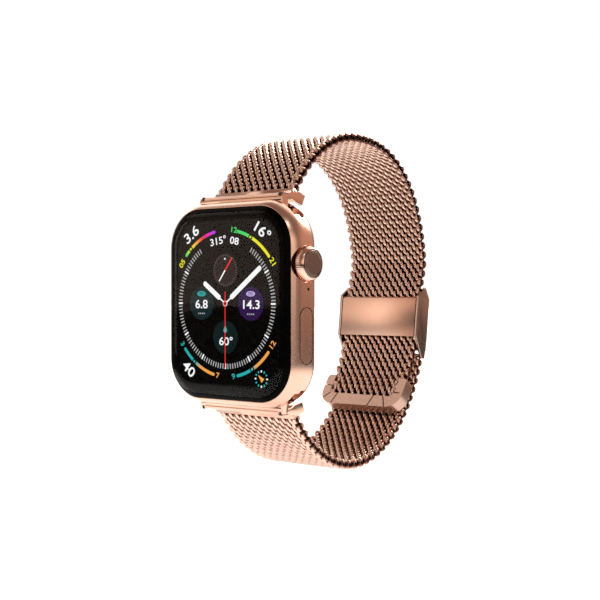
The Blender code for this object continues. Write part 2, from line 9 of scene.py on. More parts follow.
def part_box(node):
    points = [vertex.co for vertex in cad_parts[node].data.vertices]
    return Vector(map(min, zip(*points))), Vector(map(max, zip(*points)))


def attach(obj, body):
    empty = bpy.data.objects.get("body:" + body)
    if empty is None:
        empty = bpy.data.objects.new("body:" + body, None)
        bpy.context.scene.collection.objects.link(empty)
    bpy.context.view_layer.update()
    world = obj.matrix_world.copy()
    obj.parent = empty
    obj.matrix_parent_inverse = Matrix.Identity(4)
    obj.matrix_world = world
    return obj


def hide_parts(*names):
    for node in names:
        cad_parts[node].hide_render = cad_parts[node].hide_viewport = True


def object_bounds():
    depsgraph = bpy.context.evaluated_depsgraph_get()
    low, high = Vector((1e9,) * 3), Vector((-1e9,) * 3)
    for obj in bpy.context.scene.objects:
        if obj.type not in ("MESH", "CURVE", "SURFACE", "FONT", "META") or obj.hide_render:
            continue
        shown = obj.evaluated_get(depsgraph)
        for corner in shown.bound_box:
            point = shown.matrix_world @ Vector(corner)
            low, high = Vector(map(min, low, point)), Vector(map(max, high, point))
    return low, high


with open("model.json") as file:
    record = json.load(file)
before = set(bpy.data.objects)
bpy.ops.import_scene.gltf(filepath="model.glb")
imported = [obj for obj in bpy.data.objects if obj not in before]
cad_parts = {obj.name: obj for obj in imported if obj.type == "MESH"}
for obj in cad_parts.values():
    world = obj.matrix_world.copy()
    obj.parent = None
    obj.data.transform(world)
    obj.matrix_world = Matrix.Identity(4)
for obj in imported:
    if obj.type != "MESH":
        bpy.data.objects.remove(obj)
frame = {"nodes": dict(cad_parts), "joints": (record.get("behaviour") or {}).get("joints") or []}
cadLow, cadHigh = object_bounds()
nodes = frame["nodes"]
mm = 0.001
print("frame loaded:", len(nodes), "nodes")


def jointSpot(name):  # a joint's place in millimetres
    joint = next(j for j in frame["joints"] if j["name"] == name)
    return Vector(joint["pos_m"]) / mm


def nodeBox(*names):  # lowest and highest corner of some CAD nodes, in millimetres
    corners = [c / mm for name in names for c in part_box(name)]
    low = Vector(map(min, *corners))
    return low, Vector(map(max, *corners))


# materials: every finish has its own colour drift, grain and roughness
finishes = {
    "satinAluminium": {"light": (0.86, 0.58, 0.455), "deep": (0.82, 0.54, 0.415), "rough": (0.22, 0.28),
                       "grain": (2600, 2600, 2600), "drift": 60, "bump": 0.03},
    "polishedRose": {"light": (0.90, 0.63, 0.50), "deep": (0.80, 0.52, 0.40), "rough": (0.10, 0.20),
                     "grain": (300, 1400, 1400), "drift": 80, "bump": 0.02},
    "brushedRose": {"light": (0.88, 0.61, 0.48), "deep": (0.78, 0.50, 0.38), "rough": (0.28, 0.32),
                    "grain": (900, 6000, 6000), "drift": 60, "bump": 0.01},
    # the rose metal darkened for the tongue rim, painted shade inside the loop
    "tongueShadedRose": {"light": (0.60, 0.41, 0.335), "deep": (0.54, 0.36, 0.29), "rough": (0.24, 0.32),
                   "grain": (900, 5000, 5000), "drift": 60, "bump": 0.015},
    # the rose metal darkened for the clasp frame, painted shade
    "claspShadedRose": {"light": (0.46, 0.36, 0.31), "deep": (0.40, 0.30, 0.26), "rough": (0.20, 0.30),
                 "grain": (900, 900, 200), "drift": 80, "bump": 0.04},
    "crownCap": {"light": (0.32, 0.25, 0.215), "deep": (0.27, 0.205, 0.17), "rough": (0.30, 0.42),
                 "grain": (1500, 1500, 1500), "drift": 120, "bump": 0.10},
    "plainSteel": {"light": (0.66, 0.66, 0.67), "deep": (0.50, 0.50, 0.52), "rough": (0.25, 0.40),
                   "grain": (1200, 1200, 200), "drift": 90, "bump": 0.08},
    "coilCopper": {"light": (0.80, 0.42, 0.26), "deep": (0.60, 0.28, 0.16), "rough": (0.25, 0.45),
                   "grain": (800, 800, 800), "drift": 90, "bump": 0.15},
    # black rubber of the seals, also used for the painted shadow boxes at the adapters
    "sealRubberAndShadow": {"light": (0.045, 0.045, 0.045), "deep": (0.025, 0.025, 0.025), "rough": (0.65, 0.85),
                   "grain": (1600, 1600, 1600), "drift": 200, "bump": 0.25, "metal": 0.0},
    "blackPlastic": {"light": (0.05, 0.05, 0.055), "deep": (0.03, 0.03, 0.034), "rough": (0.40, 0.60),
                     "grain": (1400, 1400, 1400), "drift": 160, "bump": 0.15, "metal": 0.0},
    "boardGreen": {"light": (0.03, 0.14, 0.07), "deep": (0.015, 0.08, 0.045), "rough": (0.40, 0.60),
                   "grain": (700, 700, 700), "drift": 400, "bump": 0.10, "metal": 0.0},
    "cellFoil": {"light": (0.26, 0.27, 0.30), "deep": (0.17, 0.18, 0.21), "rough": (0.35, 0.50),
                 "grain": (300, 300, 900), "drift": 100, "bump": 0.20, "metal": 0.6},
    "backCeramic": {"light": (0.050, 0.050, 0.054), "deep": (0.032, 0.032, 0.036), "rough": (0.10, 0.20),
                    "grain": (900, 900, 900), "drift": 120, "bump": 0.02, "metal": 0.0},
    "panelBlack": {"light": (0.0014, 0.0014, 0.0017), "deep": (0.0007, 0.0007, 0.0009),
                   "rough": (0.20, 0.30), "grain": (3000, 3000, 3000), "drift": 300, "bump": 0.02,
                   "metal": 0.0, "shine": 0.02},
    "maskBlack": {"light": (0.0020, 0.0020, 0.0023), "deep": (0.0012, 0.0012, 0.0014),
                  "rough": (0.12, 0.22), "grain": (1500, 1500, 1500), "drift": 200, "bump": 0.01,
                  "metal": 0.0, "shine": 0.02},
}


def link(tree, fromNode, output, toNode, socket):
    tree.links.new(fromNode.outputs[output], toNode.inputs[socket])


def addNoise(tree, place, output, scale, detail=2.0):
    noise = tree.nodes.new("ShaderNodeTexNoise")
    noise.inputs["Scale"].default_value = scale
    noise.inputs["Detail"].default_value = detail
    link(tree, place, output, noise, "Vector")
    return noise


def addRange(tree, source, output, low, high, fromLow=0.3, fromHigh=0.7):
    spread = tree.nodes.new("ShaderNodeMapRange")
    spread.inputs["From Min"].default_value = fromLow
    spread.inputs["From Max"].default_value = fromHigh
    spread.inputs["To Min"].default_value = low
    spread.inputs["To Max"].default_value = high
    link(tree, source, output, spread, "Value")
    return spread


def addMix(tree, factor, first, second):
    mix = tree.nodes.new("ShaderNodeMix")
    mix.data_type = "RGBA"
    mix.inputs["A"].default_value = (*first, 1)
    mix.inputs["B"].default_value = (*second, 1)
    tree.links.new(factor, mix.inputs["Factor"])
    return mix


def newMaterial(name):
    made = bpy.data.materials.new(name)
    made.use_nodes = True
    tree = made.node_tree
    return made, tree, tree.nodes["Principled BSDF"]


def grainMaterial(name):
    look = finishes[name]
    made, tree, shader = newMaterial(name)
    shader.inputs["Metallic"].default_value = look.get("metal", 1.0)
    shader.inputs["Specular IOR Level"].default_value = look.get("shine", 0.5)
    coords = tree.nodes.new("ShaderNodeTexCoord")
    stretch = tree.nodes.new("ShaderNodeMapping")
    stretch.inputs["Scale"].default_value = look["grain"]
    link(tree, coords, "Object", stretch, "Vector")
    fine = addNoise(tree, stretch, 0, 1.0, 3.0)
    broad = addNoise(tree, coords, "Object", look["drift"])
    share = addRange(tree, broad, "Fac", 0.0, 1.0)
    colour = addMix(tree, share.outputs[0], look["deep"], look["light"])
    link(tree, colour, "Result", shader, "Base Color")
    rough = addRange(tree, fine, "Fac", *look["rough"])
    link(tree, rough, 0, shader, "Roughness")
    bump = tree.nodes.new("ShaderNodeBump")
    bump.inputs["Strength"].default_value = look["bump"]
    bump.inputs["Distance"].default_value = 0.02 * mm
    link(tree, fine, "Fac", bump, "Height")
    link(tree, bump, 0, shader, "Normal")
    return made


# wire colour by how far out the wire lies: the crest colour is the metal, the flank and pit colours are
# painted shade
wireLook = {"crest": (0.91, 0.69, 0.58), "flankShade": (0.52, 0.30, 0.23), "pitShade": (0.05, 0.02, 0.013),
            "rough": (0.12, 0.22), "scratch": 1800, "stops": (0.28, 0.62, 0.86), "wobble": 0.08}


def wireMaterial():  # polished crests; painted shade, dark brown to near black, where the wires dive into each other, darker the deeper the wire lies
    made, tree, shader = newMaterial("wovenWire")
    shader.inputs["Metallic"].default_value = 1.0
    height = tree.nodes.new("ShaderNodeAttribute")
    height.attribute_name = "crest"
    coords = tree.nodes.new("ShaderNodeTexCoord")
    scratch = addNoise(tree, coords, "Object", wireLook["scratch"])
    ramp = tree.nodes.new("ShaderNodeValToRGB")
    stops = ramp.color_ramp.elements
    low, halfway, high = wireLook["stops"]
    stops[0].position, stops[0].color = low, (*wireLook["pitShade"], 1)
    stops[1].position, stops[1].color = high, (*wireLook["crest"], 1)
    middle = stops.new(halfway)
    middle.color = (*wireLook["flankShade"], 1)
    wobble = tree.nodes.new("ShaderNodeMath")
    wobble.operation = "MULTIPLY_ADD"
    wobble.inputs[1].default_value = wireLook["wobble"]
    link(tree, scratch, "Fac", wobble, 0)
    link(tree, height, "Fac", wobble, 2)
    link(tree, wobble, 0, ramp, "Fac")
    link(tree, ramp, "Color", shader, "Base Color")
    rough = addRange(tree, scratch, "Fac", *wireLook["rough"])
    link(tree, rough, 0, shader, "Roughness")
    return made


glasses = {"coverGlass": {"tint": (0.93, 0.94, 0.95), "smear": (0.0, 0.012)},
           "rearGlass": {"tint": (0.35, 0.35, 0.38), "smear": (0.02, 0.06)}}
glassLook = {"bend": 1.22, "shine": 0.03, "smudge": 90}


def glassMaterial(name):
    made, tree, shader = newMaterial(name)
    shader.inputs["Base Color"].default_value = (*glasses[name]["tint"], 1)
    shader.inputs["Transmission Weight"].default_value = 1.0
    shader.inputs["IOR"].default_value = glassLook["bend"]
    shader.inputs["Specular IOR Level"].default_value = glassLook["shine"]
    coords = tree.nodes.new("ShaderNodeTexCoord")
    smudge = addNoise(tree, coords, "Object", glassLook["smudge"])
    rough = addRange(tree, smudge, "Fac", *glasses[name]["smear"])
    link(tree, rough, 0, shader, "Roughness")
    return made


inkLook = {"glow": 1.15, "rough": 0.4, "shine": 0.05, "cells": 9000, "dimTo": 0.86}


def inkMaterial():  # a lit picture, its colour from the shape's own attribute
    made, tree, shader = newMaterial("litPicture")
    shader.inputs["Base Color"].default_value = (0, 0, 0, 1)
    shader.inputs["Specular IOR Level"].default_value = inkLook["shine"]
    shader.inputs["Roughness"].default_value = inkLook["rough"]
    shader.inputs["Emission Strength"].default_value = inkLook["glow"]
    ink = tree.nodes.new("ShaderNodeAttribute")
    ink.attribute_name = "ink"
    coords = tree.nodes.new("ShaderNodeTexCoord")
    cells = tree.nodes.new("ShaderNodeTexVoronoi")
    cells.inputs["Scale"].default_value = inkLook["cells"]
    cells.inputs["Randomness"].default_value = 0.0
    link(tree, coords, "Object", cells, "Vector")
    shade = addRange(tree, cells, "Distance", 1.0, inkLook["dimTo"], 0.2, 0.8)
    dim = tree.nodes.new("ShaderNodeMix")
    dim.data_type = "RGBA"
    dim.blend_type = "MULTIPLY"
    dim.inputs["Factor"].default_value = 1.0
    link(tree, ink, "Color", dim, "A")
    link(tree, shade, 0, dim, "B")
    link(tree, dim, "Result", shader, "Emission Color")
    return made


materials = {name: grainMaterial(name) for name in finishes}
materials["wovenWire"] = wireMaterial()
for glassName in glasses:
    materials[glassName] = glassMaterial(glassName)
materials["litPicture"] = inkMaterial()
print("materials ready:", len(materials))


# shared steps of making a piece; shapes are drawn in millimetres
def meshOf(bm, name="shape"):
    mesh = bpy.data.meshes.new(name)
    bm.to_mesh(mesh)
    bm.free()
    return mesh


def takeIn(bm, part):  # adds a finished shape to another one
    mesh = meshOf(part)
    bm.from_mesh(mesh)
    bpy.data.meshes.remove(mesh)


def intoScene(name, data):
    made = bpy.data.objects.new(name, data)
    bpy.context.scene.collection.objects.link(made)
    return made


def appliedMesh(holder):  # what an object's curve or modifiers come out as
    graph = bpy.context.evaluated_depsgraph_get()
    return bpy.data.meshes.new_from_object(holder.evaluated_get(graph))


def curveShape(curve):  # a curve or a text turned into a plain shape
    holder = intoScene("holder", curve)
    mesh = appliedMesh(holder)
    bpy.data.objects.remove(holder)
    bm = bmesh.new()
    bm.from_mesh(mesh)
    bpy.data.meshes.remove(mesh)
    bmesh.ops.remove_doubles(bm, verts=bm.verts, dist=1e-5)
    return bm


def bevelEdges(bm, edges, width, segments, clamp=False):
    bmesh.ops.bevel(bm, geom=edges, offset=width, segments=segments, profile=0.5, affect="EDGES",
                    material=-1, clamp_overlap=clamp)


def carve(mesh, cutters, operation="DIFFERENCE"):
    target = intoScene("target", mesh)
    helpers = []
    for cutter in cutters:
        helper = intoScene("cutter", cutter)
        step = target.modifiers.new("cut", "BOOLEAN")
        step.operation = operation
        step.solver = "EXACT"
        step.object = helper
        helpers.append(helper)
    made = appliedMesh(target)
    for helper in helpers + [target]:
        bpy.data.objects.remove(helper)
    return made


def roundEdges(mesh, width, segments=2, angle=38):  # small bevels along the sharp edges
    bm = bmesh.new()
    bm.from_mesh(mesh)
    bmesh.ops.dissolve_limit(bm, angle_limit=math.radians(0.2), verts=bm.verts, edges=bm.edges)
    sharp = [e for e in bm.edges if e.is_manifold and e.calc_face_angle(0) > math.radians(angle)]
    bevelEdges(bm, sharp, width, segments, True)
    return meshOf(bm)


def finishPiece(name, mesh, body, materialName, replaced=(), smoothAngle=35):
    mesh.name = name
    mesh.transform(Matrix.Scale(mm, 4))
    mesh.shade_smooth()
    mesh.set_sharp_from_angle(angle=math.radians(smoothAngle))
    if not mesh.materials:
        mesh.materials.append(materials[materialName])
    piece = intoScene(name, mesh)
    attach(piece, body)
    if replaced:
        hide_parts(*replaced)
    return piece


def boxShape(size, centre, bevel=0.0, segments=3):
    bm = bmesh.new()
    bmesh.ops.create_cube(bm, size=1.0)
    bmesh.ops.scale(bm, vec=size, verts=bm.verts)
    if bevel:
        bevelEdges(bm, bm.edges[:], bevel, segments)
    bmesh.ops.translate(bm, vec=centre, verts=bm.verts)
    return bm


def roundedSlab(halfX, halfZ, corner, nearY, farY, front=0.0, back=0.0, steps=16, rim=12):
    bm = bmesh.new()
    bmesh.ops.create_cube(bm, size=1.0)
    depth = farY - nearY
    bmesh.ops.scale(bm, vec=(2 * halfX, depth, 2 * halfZ), verts=bm.verts)
    upright = [e for e in bm.edges if abs(e.verts[0].co.y - e.verts[1].co.y) > 0.5 * depth]
    bevelEdges(bm, upright, corner, steps)
    for side, radius in ((-1, front), (1, back)):
        if radius:
            face = side * depth / 2
            edges = [e for e in bm.edges if all(abs(v.co.y - face) < 1e-4 for v in e.verts)]
            bevelEdges(bm, edges, radius, rim)
    bmesh.ops.translate(bm, vec=(0, (nearY + farY) / 2, 0), verts=bm.verts)
    return bm


def quarter(axis):
    return Matrix.Rotation(math.radians(90), 4, axis)


def turnedShape(profile, centre, steps=72):  # (radius, height) points spun about X
    bm = bmesh.new()
    verts = [bm.verts.new((r, 0, h)) for r, h in profile]
    edges = [bm.edges.new(pair) for pair in zip(verts, verts[1:] + verts[:1])]
    bmesh.ops.spin(bm, geom=verts + edges, cent=(0, 0, 0), axis=(0, 0, 1), angle=math.tau, steps=steps,
                   use_merge=True)
    bmesh.ops.remove_doubles(bm, verts=bm.verts, dist=1e-4)
    bmesh.ops.transform(bm, matrix=Matrix.Translation(centre) @ quarter("Y"), verts=bm.verts)
    bmesh.ops.recalc_face_normals(bm, faces=bm.faces)
    return bm


def roundPlug(radius, depth, sides):  # a short cylinder along Z
    bm = bmesh.new()
    bmesh.ops.create_cone(bm, cap_ends=True, segments=sides, radius1=radius, radius2=radius, depth=depth)
    return bm


def rodShape(radius, length, centre, sides=48):  # along X
    bm = roundPlug(radius, length, sides)
    bmesh.ops.transform(bm, matrix=Matrix.Translation(centre) @ quarter("Y"), verts=bm.verts)
    return bm


def stadiumShape(length, width, depth, centre, turn, sides=40):  # long on its own Y, drawn out on Z
    bm = roundPlug(width / 2, depth, sides)
    for v in bm.verts:
        v.co.y += math.copysign((length - width) / 2, v.co.y + 1e-5)
    bmesh.ops.transform(bm, matrix=Matrix.Translation(centre) @ turn, verts=bm.verts)
    return bm


def prismShape(outline, halfX):  # a (Y, Z) outline drawn out along X
    bm = bmesh.new()
    face = bm.faces.new([bm.verts.new((-halfX, y, z)) for y, z in outline])
    grown = bmesh.ops.extrude_face_region(bm, geom=[face])["geom"]
    far = [g for g in grown if isinstance(g, bmesh.types.BMVert)]
    bmesh.ops.translate(bm, vec=(2 * halfX, 0, 0), verts=far)
    bmesh.ops.recalc_face_normals(bm, faces=bm.faces)
    return bm


# case: the rounded outer form, parted from the glass at the seam
case = {"corner": 9.0, "frontFillet": 4.4, "backFillet": 3.5, "seamY": -9.3, "seamGap": 0.12, "edge": 0.09,
        "glassSeat": (15.2, 18.2, 7.2, -10.0, -8.0), "screenRoom": (14.4, 15.7, 3.2, -8.2, -2.6),
        "innerRoom": (12.9, 13.0, 6.0, -3.0, 0.5), "crownRecess": 3.65, "recessFloor": 15.7,
        "recessTop": 19.5, "shaftHole": 2.0, "keyX": 16.4, "keyDepth": 1.8, "keyPocket": 2.8, "keyGap": 0.4,
        "plungerHole": 1.0, "micHole": 0.32, "micAt": (15.5, -5.5, 2.8), "channelY": -5.0,
        "releaseSize": (4.0, 2.0, 3.0), "releaseAt": (-2.0, 14.8), "soundSlot": (5.0, 1.1, 5.0),
        "soundAt": (-15.5, -5.0), "soundHeights": (1.6, -4.4), "maskWidth": 2.5, "maskRise": 0.9}
glassLow = nodeBox("front_glass")[0]
shellHigh = nodeBox("case_shell")[1]
crownLow, crownHigh = nodeBox("crown_head")
crownCentre = (crownLow + crownHigh) / 2
buttonLow, buttonHigh = nodeBox("side_button")
buttonCentre = (buttonLow + buttonHigh) / 2
buttonSize = buttonHigh - buttonLow
keyPlace = (case["keyX"], buttonCentre.y, buttonCentre.z)
facing = quarter("Z") @ quarter("X")  # long on Z, out on X


def outerForm():
    return roundedSlab(shellHigh.x, shellHigh.z, case["corner"], glassLow.y, shellHigh.y,
                       front=case["frontFillet"], back=case["backFillet"])


def partedForm(level, keepFront):
    bm = outerForm()
    cut = bmesh.ops.bisect_plane(bm, geom=bm.verts[:] + bm.edges[:] + bm.faces[:], plane_co=(0, level, 0),
                                 plane_no=(0, 1, 0), clear_outer=keepFront, clear_inner=not keepFront)
    rim = [g for g in cut["geom_cut"] if isinstance(g, bmesh.types.BMEdge)]
    bmesh.ops.edgenet_fill(bm, edges=rim)
    bmesh.ops.recalc_face_normals(bm, faces=bm.faces)
    return bm


def channelOutline(side):
    shape = [(-1.1, 22.0), (-1.1, 18.75), (-1.9, 18.75), (-1.9, 16.95), (-0.6, 16.95), (-0.6, 16.4),
             (0.6, 16.4), (0.6, 16.95), (1.9, 16.95), (1.9, 18.75), (1.1, 18.75), (1.1, 22.0)]
    return [(case["channelY"] + y, side * z) for y, z in shape]


def buildCase():
    shell = meshOf(partedForm(case["seamY"] + case["seamGap"] / 2, False))
    radius, floor, top = case["crownRecess"], case["recessFloor"], case["recessTop"]
    recess = [(0, floor), (radius - 0.15, floor), (radius, floor + 0.2), (radius, top), (0, top)]
    keyGap = case["keyGap"]
    cutters = [
        roundedSlab(*case["glassSeat"]),
        roundedSlab(*case["screenRoom"], steps=8),
        roundedSlab(*case["innerRoom"]),
        turnedShape(recess, (0, crownCentre.y, crownCentre.z), 96),
        rodShape(case["shaftHole"], 6.0, (15.0, crownCentre.y, crownCentre.z)),
        stadiumShape(buttonSize.z + keyGap, buttonSize.y + keyGap, case["keyPocket"], keyPlace, facing),
        rodShape(case["plungerHole"], 4.0, (14.6, buttonCentre.y, buttonCentre.z)),
        rodShape(case["micHole"], 5.0, case["micAt"], 24),
    ]
    releaseY, releaseZ = case["releaseAt"]
    for side in (1, -1):
        cutters.append(prismShape(channelOutline(side), 20.0))
        window = (0, releaseY, side * releaseZ)
        cutters.append(stadiumShape(*case["releaseSize"], window, quarter("X") @ quarter("Z")))
    for z in case["soundHeights"]:
        cutters.append(stadiumShape(*case["soundSlot"], (*case["soundAt"], z), facing))
    shell = carve(shell, [meshOf(c) for c in cutters])
    shell = roundEdges(shell, case["edge"])
    finishPiece("caseBody", shell, "case", "satinAluminium", ["case_shell"], 12)

    glass = partedForm(case["seamY"] - case["seamGap"] / 2, True)
    back = max(glass.faces, key=lambda f: f.calc_center_median().y)
    ring = bmesh.ops.inset_individual(glass, faces=[back], thickness=case["maskWidth"],
                                      use_even_offset=True)
    for face in ring["faces"]:
        face.material_index = 1
    glass.normal_update()
    for face in glass.faces:
        if face.calc_center_median().y > case["seamY"] - case["maskRise"] and abs(face.normal.y) < 0.9:
            face.material_index = 1
    mesh = meshOf(glass)
    for name in ("coverGlass", "maskBlack"):
        mesh.materials.append(materials[name])
    finishPiece("coverCrystal", mesh, "case", "coverGlass", ["front_glass"], 12)

    button = meshOf(outerForm())
    blank = stadiumShape(buttonSize.z, buttonSize.y, case["keyDepth"], keyPlace, facing)
    button = roundEdges(carve(button, [meshOf(blank)], "INTERSECT"), 0.07)
    finishPiece("sideKey", button, "side_button", "satinAluminium", ["side_button"], 12)
    print("case, crystal and side key built")


# crown: a finely grooved wheel with a polished chamfer and a dark cap
crown = {"grooves": 60, "grooveDepth": 0.05, "radius": 3.3, "capRadius": 2.55}


def buildCrown():
    place = (0, crownCentre.y, crownCentre.z)
    r = crown["radius"]
    profile = [(0, 16.25), (2.7, 16.25), (3.1, 16.38), (3.25, 16.6), (r, 16.8), (r, 17.55), (3.22, 17.72),
               (3.0, 18.1), (2.86, 18.26), (2.74, 18.3), (2.70, 18.2), (2.70, 17.85), (0, 17.85)]
    steps = crown["grooves"] * 3
    wheel = turnedShape(profile, place, steps)
    for v in wheel.verts:
        across = Vector((v.co.y - place[1], v.co.z - place[2]))
        if across.length > r - 0.01:
            turn = math.atan2(across.y, across.x) / math.tau * crown["grooves"]
            if abs(turn - round(turn)) < 0.1:
                v.co.y -= across.x / across.length * crown["grooveDepth"]
                v.co.z -= across.y / across.length * crown["grooveDepth"]
    finishPiece("crownWheel", meshOf(wheel), "crown", "polishedRose", ["crown_head"], 50)
    c = crown["capRadius"]
    cap = [(0, 18.0), (c, 18.0), (c, 18.3), (c - 0.08, 18.38), (c - 0.3, 18.42), (c - 0.34, 18.38),
           (c - 0.42, 18.38), (c - 0.46, 18.42), (0, 18.44)]
    finishPiece("crownDisc", meshOf(turnedShape(cap, place, 96)), "crown", "crownCap",
                ["crown_disc"], 30)
    print("crown built")


# dial: thin lit shapes under the crystal, drawn as (across, up, towards the eye)
dial = {"pivotX": -0.4, "pivotZ": 0.05, "planeY": -9.27, "sheet": 0.012, "ringOuter": 12.75,
        "ringInner": 11.75, "subRadius": 3.25, "arcRadius": 14.3, "arcWidth": 0.62}
dialArt = bmesh.new()
dialArt.verts.layers.float_color.new("ink")


def stamp(shape, layer, ink):  # ink is a colour, or a function of the place
    shape.verts.ensure_lookup_table()
    own = shape.verts.layers.float_color.new("ink")
    for v in shape.verts:
        colour = ink(v.co) if callable(ink) else ink
        v[own] = (*colour, 1.0)
        v.co.z += layer * 2.2 * dial["sheet"]
    takeIn(dialArt, shape)


def thinDisc(radius, sides=48):
    return roundPlug(radius, dial["sheet"], sides)


def turned(bm, angle):
    bmesh.ops.rotate(bm, cent=(0, 0, 0), matrix=Matrix.Rotation(angle, 3, "Z"), verts=bm.verts)
    return bm


def moved(bm, x, y):
    bmesh.ops.translate(bm, vec=(x, y, 0), verts=bm.verts)
    return bm


def clockSpot(angle, radius):
    return radius * math.sin(math.radians(angle)), radius * math.cos(math.radians(angle))


def thinBar(width, start, end, angle, rounded=True):  # a bar along a clock angle, from start to end
    if rounded:
        bm = thinDisc(width / 2, 20)
        for v in bm.verts:
            v.co.y += end - width / 2 if v.co.y > 1e-6 else start + width / 2
    else:
        bm = boxShape((width, end - start, dial["sheet"]), (0, (start + end) / 2, 0))
    return turned(bm, -angle)


def thinArc(radius, width, start, end, steps=24):  # clock angles in degrees
    bm = bmesh.new()
    half = dial["sheet"] / 2
    corners = [(radius - width / 2, -half), (radius + width / 2, -half), (radius + width / 2, half),
               (radius - width / 2, half)]
    face = bm.faces.new([bm.verts.new((*clockSpot(start, r), h)) for r, h in corners])
    bmesh.ops.spin(bm, geom=[face], cent=(0, 0, 0), axis=(0, 0, -1), angle=math.radians(end - start),
                   steps=steps)
    bmesh.ops.recalc_face_normals(bm, faces=bm.faces)
    return bm


figures = {"squeeze": 1.22, "weight": 0.014, "small": 1.5, "large": 2.9, "course": 1.95, "subDial": 2.35,
           "foot": 2.2}


def numerals(text, size, at, turn=0.0):
    curve = bpy.data.curves.new("numerals", "FONT")
    curve.body = text
    curve.size = size
    curve.align_x = "CENTER"
    curve.align_y = "CENTER"
    curve.extrude = dial["sheet"] / 2
    curve.offset = size * figures["weight"]
    curve.resolution_u = 4
    bm = curveShape(curve)
    bmesh.ops.scale(bm, vec=(figures["squeeze"], 1, 1), verts=bm.verts)
    return moved(turned(bm, math.radians(turn)), *at)


inks = {"white": (0.95, 0.95, 0.95), "grey": (0.42, 0.42, 0.42), "dim": (0.16, 0.15, 0.15),
        "red": (0.80, 0.03, 0.03), "teal": (0.02, 0.42, 0.40), "yellow": (0.85, 0.80, 0.02),
        "orange": (0.90, 0.38, 0.08), "green": (0.06, 0.70, 0.14), "violet": (0.45, 0.05, 0.85),
        "magenta": (0.85, 0.02, 0.35), "lilac": (0.52, 0.42, 0.75), "black": (0.0, 0.0, 0.0)}


def blendInk(stops):  # colour along the arc by clock angle
    def pick(place):
        angle = math.degrees(math.atan2(place.x, place.y))
        for (a, first), (b, second) in zip(stops, stops[1:]):
            if angle <= b or (b, second) == stops[-1]:
                share = min(1, max(0, (angle - a) / (b - a)))
                return tuple(first[i] + share * (second[i] - first[i]) for i in range(3))
    return pick


ticks = {"count": 120, "gap": 32, "majorWidth": 0.34, "width": 0.24, "majorLonger": 0.1}


def drawTicks():
    for k in range(ticks["count"]):
        angle = 360 * k / ticks["count"]
        if min(angle, 360 - angle) < ticks["gap"]:
            continue
        major = angle % 30 == 0
        start = dial["ringInner"] - (ticks["majorLonger"] if major else 0)
        width = ticks["majorWidth"] if major else ticks["width"]
        bar = thinBar(width, start, dial["ringOuter"], math.radians(angle), False)
        stamp(bar, 1, inks["white"] if major else inks["grey"])


# each arc: clock angles and colours along it, and where its marker sits
arcs = [
    {"stops": [(-48, "green"), (-40, "yellow"), (-33, "orange"), (-26, "red"), (-20, "magenta"),
               (-12, "violet")], "marker": -41},
    {"stops": [(13, "green"), (23, "green"), (30, "yellow"), (51, "yellow")], "marker": 27},
    {"stops": [(130, "orange"), (145, "orange"), (152, "teal"), (167, "teal")], "marker": 151},
    {"stops": [(-167, "orange"), (-152, "orange"), (-146, "teal"), (-130, "teal")], "marker": -144},
]


def drawArcs():
    radius, width = dial["arcRadius"], dial["arcWidth"]
    for arc in arcs:
        pick = blendInk([(angle, inks[ink]) for angle, ink in arc["stops"]])
        start, end = arc["stops"][0][0], arc["stops"][-1][0]
        stamp(thinArc(radius, width, start, end), 0, pick)
        for angle in (start, end):
            stamp(moved(thinDisc(width / 2, 20), *clockSpot(angle, radius)), 0, pick)
        spot = clockSpot(arc["marker"], radius)
        stamp(moved(thinDisc(width * 0.85, 20), *spot), 1, inks["black"])
        stamp(moved(thinDisc(width * 0.42, 20), *spot), 2, pick)


# readings: text, size, clock angle, radius, turn, ink
readings = [
    ("05", "small", -56, 14.2, 56, "yellow"), ("12", "small", 8.5, 14.4, -8.5, "green"),
    ("21", "small", 57, 14.4, -57, "yellow"), ("12", "small", 123, 14.3, 57, "orange"),
    ("9", "small", 171.5, 14.3, 8.5, "teal"), ("7", "small", -171.5, 14.3, 351.5, "orange"),
    ("3", "small", -125, 14.3, 305, "teal"), ("3.6", "large", -34, 16.4, 34, "white"),
    ("16°", "large", 34, 16.6, -36, "white"), ("40", "large", -143, 16.6, -40, "white"),
    ("315°", "course", -9, 12.3, 9, "white"), ("08", "course", 11, 12.3, -11, "white"),
]
compass = {"angle": 147, "radius": 17.0, "inner": 1.25, "outer": 1.65, "tick": 0.3, "arrow": 0.95,
           "turn": 48}


def drawReadings():
    for text, size, angle, radius, turn, ink in readings:
        stamp(numerals(text, figures[size], clockSpot(angle, radius), turn), 1, inks[ink])
    spot = clockSpot(compass["angle"], compass["radius"])
    for k in range(12):
        tick = thinBar(compass["tick"], compass["inner"], compass["outer"], math.radians(30 * k), False)
        stamp(moved(tick, *spot), 1, inks["teal"] if k % 3 else inks["white"])
    arrow = thinDisc(compass["arrow"], 3)
    bmesh.ops.scale(arrow, vec=(0.62, 1.15, 1), verts=arrow.verts)
    stamp(moved(turned(arrow, math.radians(compass["turn"])), *spot), 1, inks["orange"])


subDials = {
    "left": {"at": (-6.45, 0.0), "fill": (0.004, 0.018, 0.020), "text": "6.8", "lens": "teal"},
    "right": {"at": (6.55, 0.0), "fill": (0.026, 0.007, 0.062), "text": "14.3", "lens": "lilac"},
    "top": {"at": (-0.05, 6.5), "fill": (0.020, 0.011, 0.009)},
    "bottom": {"at": (-0.05, -6.55), "fill": (0.003, 0.012, 0.012)},
}


def drawLensDial(look):  # a reading under a small grooved lens, dots below
    x, y = look["at"]
    lens = thinDisc(1.0, 40)
    bmesh.ops.scale(lens, vec=(1.15, 0.52, 1), verts=lens.verts)
    stamp(moved(lens, x, y + 1.9), 1, inks[look["lens"]])
    for k in (-1, 0, 1):
        groove = boxShape((1.5 - 0.35 * abs(k), 0.1, dial["sheet"]), (x, y + 1.9 + 0.24 * k, 0))
        stamp(groove, 2, look["fill"])
    stamp(numerals(look["text"], figures["subDial"], (x, y - 0.25)), 1, inks["white"])
    for k in range(4):
        stamp(moved(thinDisc(0.16, 12), x - 0.75 + 0.5 * k, y - 2.0), 1, inks["grey"])


